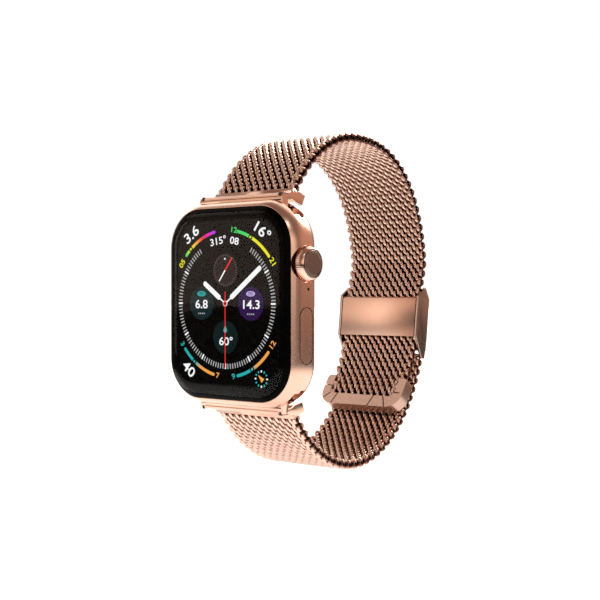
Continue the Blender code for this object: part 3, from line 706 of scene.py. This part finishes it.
def drawDropDial(look):
    x, y = look["at"]
    drop = thinDisc(0.5, 24)
    for v in drop.verts:
        if v.co.y > 0:
            v.co.x *= 1 - v.co.y / 0.55
            v.co.y *= 2.2
    stamp(moved(drop, x, y + 1.35), 1, inks["teal"])
    stamp(numerals("60°", figures["foot"], (x + 0.2, y - 0.9)), 1, inks["white"])


def drawNeedleDial(look):
    x, y = look["at"]
    r = dial["subRadius"]
    for k in range(36):
        tick = thinBar(0.07, r - 0.55, r - 0.15, math.radians(10 * k), False)
        stamp(moved(tick, x, y), 1, inks["dim"])
    stamp(moved(thinDisc(0.2, 16), x - 0.1, y + 2.2), 1, inks["white"])
    stamp(moved(thinBar(0.34, 0, 3.0, math.radians(37)), x, y), 2, inks["red"])
    stamp(moved(thinBar(0.3, 0, 2.7, math.radians(217)), x, y), 2, inks["white"])


def drawSubDials():
    for look in subDials.values():
        stamp(moved(thinDisc(dial["subRadius"], 64), *look["at"]), 0, look["fill"])
    drawLensDial(subDials["left"])
    drawLensDial(subDials["right"])
    drawDropDial(subDials["bottom"])
    drawNeedleDial(subDials["top"])


hands = {"stem": 0.28, "blade": 1.02, "minute": (53, 52.6, 1.7, 11.6), "hour": (-54.5, -54.5, 1.6, 7.1),
         "second": (0.22, -2.3, 12.5), "hubs": ((0.56, "white", 4), (0.46, "red", 6), (0.2, "black", 7))}


def drawHands():
    for name in ("minute", "hour"):
        stemAngle, bladeAngle, start, end = hands[name]
        stamp(thinBar(hands["stem"], 0, 2.0, math.radians(stemAngle), False), 3, inks["white"])
        stamp(thinBar(hands["blade"], start, end, math.radians(bladeAngle)), 3, inks["white"])
    stamp(thinBar(*hands["second"], math.pi, False), 5, inks["red"])
    for radius, ink, layer in hands["hubs"]:
        stamp(thinDisc(radius), layer, inks[ink])


def buildDial():
    drawTicks()
    drawArcs()
    drawReadings()
    drawSubDials()
    drawHands()
    toEye = Matrix(((1, 0, 0, dial["pivotX"]), (0, 0, -1, dial["planeY"]), (0, 1, 0, dial["pivotZ"]),
                    (0, 0, 0, 1)))
    bmesh.ops.transform(dialArt, matrix=toEye, verts=dialArt.verts)
    finishPiece("dialPicture", meshOf(dialArt), "case", "litPicture", smoothAngle=20)
    print("dial drawn")


# band: the loop's centre line, the same rule as the CAD ribbon
loop = {"centreY": 19.3, "depth": 26.3, "top": 34.4, "bottom": 33.7, "backPower": 2.45, "startZ": 22.3,
        "bottomEndZ": 11.9, "claspY": 40.95, "claspZ": -3.0, "claspTilt": math.atan2(1.1, 9.2),
        "strapN": 1.95, "exitT": -4.9, "tailKink": math.radians(9), "tailRadius": 38.0, "tailLength": 10.2}
# the sheet thickness is for the dark sheet of painted shade inside the weave
weave = {"columns": 11, "halfWidth": 9.66, "rowStep": 1.05, "pairing": 0.16, "reach": 0.93, "rise": 0.72,
         "wire": 0.36, "halfThick": 1.09, "flatFrom": 0.93, "turnSteps": 12, "stagger": 0.12,
         "edgeReach": 0.62, "inset": 0.55, "shadeSheet": 0.16, "inlayHalf": 8.5}


def claspPoint(n, t):  # n outwards, t upwards along the tilted clasp
    c, s = math.cos(loop["claspTilt"]), math.sin(loop["claspTilt"])
    return Vector((loop["claspY"] + n * c + t * s, loop["claspZ"] - n * s + t * c))


def loopHalf(height, power, samples=900):
    line = []
    for k in range(samples + 1):
        turn = math.pi * k / samples
        c, s = math.cos(turn), math.sin(turn)
        if c >= 0:
            line.append(Vector((loop["centreY"] - loop["depth"] * c, height * s)))
        else:
            bulge = 2 / power
            line.append(Vector((loop["centreY"] + loop["depth"] * abs(c) ** bulge, height * s ** bulge)))
    return line


def easeBetween(start, startWay, end, endWay, samples=24):
    line = []
    for k in range(1, samples + 1):
        t = k / samples
        line.append((2 * t ** 3 - 3 * t ** 2 + 1) * start + (t ** 3 - 2 * t ** 2 + t) * startWay
                    + (3 * t ** 2 - 2 * t ** 3) * end + (t ** 3 - t ** 2) * endWay)
    return line


def tailSpot(s):  # how far out and along from the clasp the tail is, after a length
    turn = loop["tailKink"] + s / loop["tailRadius"]
    n = loop["strapN"] + loop["tailRadius"] * (math.cos(turn) - math.cos(loop["tailKink"]))
    t = loop["exitT"] - loop["tailRadius"] * (math.sin(turn) - math.sin(loop["tailKink"]))
    return n, t


# tongue: a slotted rim round the end of the tail, the woven end lying in its recess
tongue = {"tilt": math.radians(28), "half": 10.9, "start": 0.25, "length": 7.6, "front": -1.35, "back": 1.45,
          "corner": 3.3, "shoulder": 0.8, "recess": 4.9, "recessHalf": 8.75, "recessDepth": 2.1,
          "slit": 0.26}
tongueSlits = [((-10.9, 2.8), (-8.9, 3.1)), ((-10.1, 6.4), (-8.3, 4.7)), ((-6.5, 5.1), (-7.3, 7.6)),
               ((3.6, 5.1), (2.8, 7.6)), ((6.2, 5.1), (7.3, 7.4)), ((7.4, 3.9), (9.9, 3.9))]


def tonguePoint(across, along):  # across the tongue's thickness, along its length
    s, c = math.sin(tongue["tilt"]), math.cos(tongue["tilt"])
    n, t = tailSpot(loop["tailLength"])
    return claspPoint(n - along * s + across * c, t - along * c - across * s)


def inTongue(bm):  # from (x, along, across) to the tongue's place
    for v in bm.verts:
        spot = tonguePoint(v.co.z, v.co.y)
        v.co = (v.co.x, spot.x, spot.y)
    bmesh.ops.recalc_face_normals(bm, faces=bm.faces)
    return meshOf(bm)


def buildTongue():
    length = tongue["length"] - tongue["start"]
    thick = tongue["back"] - tongue["front"]
    middle = (0, tongue["start"] + length / 2, (tongue["back"] + tongue["front"]) / 2)
    rim = boxShape((2 * tongue["half"], length, thick), middle)
    for side, width, segments in ((1, tongue["corner"], 14), (-1, tongue["shoulder"], 6)):
        corners = [e for e in rim.edges if all(side * (v.co.y - middle[1]) > 0 for v in e.verts)
                   and abs(e.verts[0].co.z - e.verts[1].co.z) > 0.5 * thick]
        bevelEdges(rim, corners, width, segments)
    size = (2 * tongue["recessHalf"], 2 * tongue["recess"], 2 * tongue["recessDepth"])
    recess = boxShape(size, (0, 0, tongue["front"]), 0.6, 4)
    cutters = [meshOf(recess)]
    for (x0, a0), (x1, a1) in tongueSlits:
        way = Vector((x1 - x0, a1 - a0))
        slit = boxShape((way.length + 0.4, tongue["slit"], 1.2), (0, 0, 0))
        turn = Matrix.Rotation(math.atan2(way.y, way.x), 4, "Z")
        place = Matrix.Translation(((x0 + x1) / 2, (a0 + a1) / 2, tongue["front"]))
        bmesh.ops.transform(slit, matrix=place @ turn, verts=slit.verts)
        cutters.append(meshOf(slit))
    shell = roundEdges(carve(meshOf(rim), cutters), 0.12)
    bm = bmesh.new()
    bm.from_mesh(shell)
    finishPiece("tongueRim", inTongue(bm), "tongue", "tongueShadedRose", ["tongue_shell"], 20)
    print("tongue built")


def topLine():
    exitZ = jointSpot("band_flex_top_4").z
    line = [p for p in loopHalf(loop["top"], loop["backPower"]) if p.x < loop["centreY"] or p.y > exitZ]
    line = [p for p in line if p.x > loop["centreY"] or p.y > loop["startZ"]]
    entry = claspPoint(loop["strapN"], 5.2)
    down = claspPoint(0, -6) - claspPoint(0, 0)
    line += easeBetween(line[-1], Vector((0.4, -6.0)), entry, down)
    line += [claspPoint(loop["strapN"], 5.2 - 10.1 * k / 16) for k in range(1, 17)]
    line += [claspPoint(*tailSpot(loop["tailLength"] * k / 24)) for k in range(1, 25)]
    line += [tonguePoint(-0.35 * min(1, k / 6), tongue["recess"] * k / 16) for k in range(1, 17)]
    return line


def bottomLine():
    line = []
    for p in loopHalf(loop["bottom"], 2.0):
        level = loop["startZ"] if p.x < loop["centreY"] else loop["bottomEndZ"]
        if p.y > level:
            line.append(Vector((p.x, -p.y)))
    return line


class Route:  # a centre line that can be asked for a place by length
    def __init__(self, line, outward):
        self.line, self.outward = line, outward
        self.steps = [0.0]
        for a, b in zip(line, line[1:]):
            self.steps.append(self.steps[-1] + (b - a).length)
        self.total = self.steps[-1]

    def lengthAt(self, spot):
        near = min(range(len(self.line)), key=lambda k: (self.line[k] - Vector((spot.y, spot.z))).length)
        return self.steps[near]

    def place(self, s):  # point and outward direction, both in (Y, Z)
        low, high = 0, len(self.steps) - 2
        while low < high:
            middle = (low + high + 1) // 2
            if self.steps[middle] <= s:
                low = middle
            else:
                high = middle - 1
        a, b = self.line[low], self.line[low + 1]
        way = (b - a).normalized()
        point = a + way * (s - self.steps[low])
        before = self.line[max(low - 1, 0)]
        after = self.line[min(low + 2, len(self.line) - 1)]
        share = (s - self.steps[low]) / max(self.steps[low + 1] - self.steps[low], 1e-6)
        start, end = (b - before).normalized(), (after - a).normalized()
        way = (start + (end - start) * min(1, max(0, share))).normalized()
        return point, Vector((-way.y, way.x)) * self.outward


def coilPath(row, side, widest):  # one coil laid flat: (across, along, out) points
    pitch = 2 * weave["halfWidth"] / weave["columns"]
    odd = row % 2
    steps = weave["turnSteps"]
    half = widest - odd * weave["inset"]
    points = []
    for k in range(-steps, (weave["columns"] + 1) * steps):
        turn = math.tau * (k / steps + 0.5 * odd)
        x = pitch * (k / steps - 0.5 * weave["columns"] - weave["stagger"] * math.sin(2 * turn) / math.tau)
        ending = min(1.0, max(0.0, (abs(x) - half + 0.3) / 0.5)) * (1 - odd)
        reach = weave["reach"] + ending * (weave["edgeReach"] - weave["reach"])
        if abs(x) < half + 0.75 * pitch:
            x = max(-half, min(half, x))
            points.append((x, reach * math.sin(turn) * side, -weave["rise"] * math.cos(turn)))
    return points


def wovenPiece(name, route, side, rows, body, replaced):
    curve = bpy.data.curves.new(name, "CURVE")
    curve.dimensions = "3D"
    curve.bevel_depth = weave["wire"]
    curve.bevel_resolution = 1
    curve.use_fill_caps = True
    for row, s, widest in rows:
        path = coilPath(row, side, widest)
        spline = curve.splines.new("POLY")
        spline.points.add(len(path) - 1)
        for point, (x, along, out) in zip(spline.points, path):
            point.co = (x, s + along, out, 1)
    bm = curveShape(curve)
    for row, s, widest in rows:  # dark sheet that closes the holes, painted shade seen between the wires
        strip = boxShape((2 * widest - 1.6, weave["rowStep"], weave["shadeSheet"]), (0, s, 0))
        bmesh.ops.delete(strip, geom=[f for f in strip.faces if abs(f.normal.y) > 0.5], context="FACES_ONLY")
        takeIn(bm, strip)
    # crest: how far out each vertex lies, read by the wire material for its painted shade in the deep parts
    crest = bm.verts.layers.float.new("crest")
    limit = weave["halfThick"]
    flatFrom = weave["flatFrom"] * limit
    for v in bm.verts:
        x, s, out = v.co
        size = abs(out)
        if size > flatFrom:  # the outer faces are rolled flat
            size = flatFrom + (limit - flatFrom) * math.tanh((size - flatFrom) / (limit - flatFrom))
        v[crest] = size / limit
        point, normal = route.place(s)
        spot = point + normal * math.copysign(size, out)
        v.co = (x, spot.x, spot.y)
    bmesh.ops.recalc_face_normals(bm, faces=bm.faces)
    finishPiece(name, meshOf(bm), body, "wovenWire", replaced, 80)


def buildBand():
    top, bottom = Route(topLine(), 1), Route(bottomLine(), -1)
    inlayFrom = top.total - tongue["recess"]
    topCuts = [0.0] + [top.lengthAt(jointSpot("band_flex_top_%d" % k)) for k in (2, 3, 4)]
    topCuts += [top.lengthAt(jointSpot("tail_flex")), top.lengthAt(jointSpot("tongue_peel")), top.total + 1]
    topNames = ["band_top_%d" % k for k in range(1, 5)]
    bottomCuts = [0.0] + [bottom.lengthAt(jointSpot("band_flex_bottom_%d" % k)) for k in (2, 3)]
    bottomCuts += [bottom.total + 1]
    bottomNames = ["band_bottom_1", "band_bottom_2"]
    halves = (
        (top, 1, topCuts, topNames + ["tail_upper", "tail_lower"], topNames + ["tail", "tongue"]),
        (bottom, -1, bottomCuts, bottomNames + ["band_bottom_3"], bottomNames + ["clasp"]),
    )
    for route, side, cuts, names, bodies in halves:
        count = int((route.total - 0.6) / weave["rowStep"])
        rows = [(k, 0.3 + weave["rowStep"] * k - weave["pairing"] * (k % 2)) for k in range(count + 1)]
        rows = [(k, s, weave["inlayHalf"] if route is top and s > inlayFrom else weave["halfWidth"])
                for k, s in rows]
        for k, node in enumerate(names):
            own = [row for row in rows if cuts[k] <= row[1] < cuts[k + 1]]
            wovenPiece("mesh_" + node, route, side, own, bodies[k], [node])
    print("band woven")


# painted shadow: black boxes in the gaps between the case, each adapter and its ears; and a rounded bar
# along each adapter
gaps = {"halfWidth": 10.6, "rod": 0.62, "rodLength": 19.4, "rodAt": (-5.25, 20.78), "strip": (1.5, 0.42),
        "stripAt": (-5.14, 20.02), "notch": (0.5, 2.3, 1.15), "notchAt": (10.2, -4.62, 20.85)}


def buildGaps():
    for side, body in ((1, "adapter_top"), (-1, "adapter_bottom")):
        # black strip and notches: painted shadow in the gaps behind each adapter bar and beside its ears
        deep, tall = gaps["strip"]
        y, z = gaps["stripAt"]
        bm = boxShape((2 * gaps["halfWidth"], deep, tall), (0, y, side * z), 0.05, 1)
        for end in (-1, 1):
            x, y, z = gaps["notchAt"]
            takeIn(bm, boxShape(gaps["notch"], (end * x, y, side * z), 0.05, 1))
        rodY, rodZ = gaps["rodAt"]
        rod = rodShape(gaps["rod"], gaps["rodLength"], (0, rodY, side * rodZ))
        finishPiece("barRod_" + body, meshOf(rod), body, "polishedRose")
        finishPiece("jointShadow_" + body, meshOf(bm), body, "sealRubberAndShadow")
    print("joint lines built")


# metal fittings that keep their CAD shape get softer edges and their finish
cadFinishes = {
    "adapter_top": "polishedRose", "adapter_bottom": "polishedRose", "end_bar_top": "satinAluminium",
    "end_bar_bottom": "satinAluminium", "clasp_frame": "claspShadedRose", "clasp_flap": "brushedRose",
    "tongue_backing": "brushedRose", "release_button_top": "satinAluminium",
    "release_button_bottom": "satinAluminium", "display_panel": "panelBlack", "rear_crystal": "rearGlass",
    "back_cover": "backCeramic", "glass_gasket": "sealRubberAndShadow", "crown_seal": "sealRubberAndShadow",
    "side_button_seal": "sealRubberAndShadow", "charging_coil": "coilCopper", "main_board": "boardGreen",
    "sensor_board": "boardGreen", "crown_switch": "blackPlastic", "crown_sensor": "blackPlastic",
    "side_button_switch": "blackPlastic", "microphone": "blackPlastic", "speaker": "blackPlastic",
    "display_connector": "blackPlastic", "battery": "cellFoil",
}
softEdges = {"adapter_top": 0.12, "adapter_bottom": 0.12, "end_bar_top": 0.0, "end_bar_bottom": 0.0,
             "clasp_frame": 0.25, "clasp_flap": 0.08, "tongue_backing": 0.1}


def dressCadNodes():
    for name, node in nodes.items():
        if node.hide_render:
            continue
        finish = materials[cadFinishes.get(name, "plainSteel")]
        node.data.materials.clear()
        node.data.materials.append(finish)
        if name in softEdges:
            weld = node.modifiers.new("weld", "WELD")
            weld.merge_threshold = 1e-6
            if softEdges[name]:
                bevel = node.modifiers.new("soft", "BEVEL")
                bevel.width = softEdges[name] * mm
                bevel.segments = 3
                bevel.limit_method = "ANGLE"
                bevel.angle_limit = math.radians(30)
            node.data.shade_smooth()
            node.data.set_sharp_from_angle(angle=math.radians(40))
    print("CAD nodes finished")


# studio: pale floor, soft light, camera
studio = {"floorSize": 4.0, "floorDrop": 0.0004, "floorGlow": 0.9, "poolGlow": 0.75, "pool": (0.07, 0.16),
          "tones": (0.85, 0.05), "seenTone": 0.9, "base": (0.23, 0.145, 0.11), "sky": 1.0}
glows = [  # direction towards the glow, where it starts and is full (as a cosine), colour
    {"toward": (0.80, -0.58, 0.05), "edge": 0.78, "full": 0.98, "colour": (0.95, 0.82, 0.74)},
    {"toward": (-0.05, 0.72, 0.68), "edge": 0.84, "full": 0.98, "colour": (1.5, 1.4, 1.3)},
    {"toward": (-0.63, 0.66, 0.28), "edge": 0.80, "full": 0.95, "colour": (1.5, 1.45, 1.38)},
    {"toward": (0.63, 0.78, 0.0), "edge": 0.60, "full": 0.94, "colour": (0.36, 0.20, 0.15)},
    {"toward": (-0.63, -0.25, 0.72), "edge": 0.92, "full": 0.985, "colour": (0.9, 0.84, 0.78)},
    {"toward": (-0.63, -0.78, 0.04), "edge": 0.80, "full": 0.97, "colour": (0.66, 0.55, 0.47)},
]
lamps = [  # places and sizes in metres
    {"name": "fillLamp", "place": (-0.0515, -0.030, 0.010), "aim": (-0.0515, 0.044, 0.010),
     "size": (0.026, 0.045), "power": 0.0036, "spread": 180, "colour": (1.0, 0.88, 0.79)},
    {"name": "keyLamp", "place": (0.30, -0.20, 0.40), "aim": (0, 0, 0), "size": (0.12, 0.12), "power": 0.10,
     "spread": 160, "colour": (1.0, 0.97, 0.94)},
    {"name": "backLamp", "place": (0.05, 0.40, 0.30), "aim": (0, 0.02, 0), "size": (0.2, 0.2), "power": 0.8,
     "spread": 160, "colour": (1.0, 0.98, 0.96)},
]
# the camera: place in millimetres, turn and dip in degrees
cameraSpot = {"place": (150.834, -172.185, 2.352), "turn": 39.187, "dip": 0.418, "lens": 68.22}


def lightSky():  # glows that only reflections and shading see, plain white behind the watch
    world = bpy.data.worlds.new("studio")
    bpy.context.scene.world = world
    world.use_nodes = True
    tree = world.node_tree
    tree.nodes.clear()
    coords = tree.nodes.new("ShaderNodeTexCoord")
    total = tree.nodes.new("ShaderNodeCombineXYZ")
    for k in range(3):
        total.inputs[k].default_value = studio["base"][k]
    for glow in glows:
        dot = tree.nodes.new("ShaderNodeVectorMath")
        dot.operation = "DOT_PRODUCT"
        dot.inputs[1].default_value = Vector(glow["toward"]).normalized()
        link(tree, coords, "Generated", dot, 0)
        spread = addRange(tree, dot, "Value", 0.0, 1.0, glow["edge"], glow["full"])
        spread.interpolation_type = "SMOOTHSTEP"
        add = tree.nodes.new("ShaderNodeVectorMath")
        add.operation = "MULTIPLY_ADD"
        add.inputs[1].default_value = glow["colour"]
        link(tree, spread, 0, add, 0)
        link(tree, total, 0, add, 2)
        total = add
    soft = tree.nodes.new("ShaderNodeBackground")
    link(tree, total, 0, soft, "Color")
    plain = tree.nodes.new("ShaderNodeBackground")
    plain.inputs["Color"].default_value = (1, 1, 1, 1)
    plain.inputs["Strength"].default_value = studio["sky"]
    rays = tree.nodes.new("ShaderNodeLightPath")
    choose = tree.nodes.new("ShaderNodeMixShader")
    link(tree, rays, "Is Camera Ray", choose, 0)
    link(tree, soft, 0, choose, 1)
    link(tree, plain, 0, choose, 2)
    out = tree.nodes.new("ShaderNodeOutputWorld")
    link(tree, choose, 0, out, "Surface")


def layFloor():  # a lit pool under the watch, white to the eye
    bm = bmesh.new()
    bmesh.ops.create_grid(bm, x_segments=1, y_segments=1, size=studio["floorSize"] / 2)
    bmesh.ops.translate(bm, vec=(0, 0, cadLow.z - studio["floorDrop"]), verts=bm.verts)
    floor = intoScene("floor", meshOf(bm, "floor"))
    paper, tree, shader = newMaterial("paleFloor")
    shader.inputs["Roughness"].default_value = 0.9
    shader.inputs["Emission Color"].default_value = (1, 1, 1, 1)
    spot = tree.nodes.new("ShaderNodeTexCoord")
    reach = tree.nodes.new("ShaderNodeVectorMath")
    reach.operation = "LENGTH"
    link(tree, spot, "Object", reach, 0)
    pool = addRange(tree, reach, "Value", studio["poolGlow"], 0.0, *studio["pool"])
    rays = tree.nodes.new("ShaderNodeLightPath")
    seen = tree.nodes.new("ShaderNodeMix")
    link(tree, rays, "Is Camera Ray", seen, "Factor")
    link(tree, pool, 0, seen, "A")
    seen.inputs["B"].default_value = studio["floorGlow"]
    link(tree, seen, "Result", shader, "Emission Strength")
    tone = addRange(tree, reach, "Value", *studio["tones"], *studio["pool"])
    shade = tree.nodes.new("ShaderNodeMix")
    link(tree, rays, "Is Camera Ray", shade, "Factor")
    link(tree, tone, 0, shade, "A")
    shade.inputs["B"].default_value = studio["seenTone"]
    link(tree, shade, "Result", shader, "Base Color")
    floor.data.materials.append(paper)


def hangLamps():
    for look in lamps:
        lamp = bpy.data.lights.new(look["name"], "AREA")
        lamp.shape = "RECTANGLE"
        lamp.size, lamp.size_y = look["size"]
        lamp.color = look["colour"]
        lamp.energy = look["power"]
        lamp.spread = math.radians(look["spread"])
        holder = intoScene(look["name"], lamp)
        holder.location = look["place"]
        away = Vector(look["aim"]) - Vector(look["place"])
        holder.rotation_euler = away.to_track_quat("-Z", "Y").to_euler()
        holder.visible_camera = False


def setCamera():
    lens = bpy.data.cameras.new("camera")
    lens.lens = cameraSpot["lens"]
    lens.sensor_width = 36
    lens.clip_start = 0.005
    camera = intoScene("camera", lens)
    camera.location = Vector(cameraSpot["place"]) * mm
    camera.rotation_euler = (math.radians(90 - cameraSpot["dip"]), 0, math.radians(cameraSpot["turn"]))
    bpy.context.scene.camera = camera
    bpy.context.scene.view_settings.view_transform = "Standard"


def buildStudio():
    lightSky()
    layFloor()
    hangLamps()
    setCamera()
    print("studio set")


buildCase()
buildCrown()
buildDial()
buildTongue()
buildBand()
buildGaps()
dressCadNodes()
buildStudio()
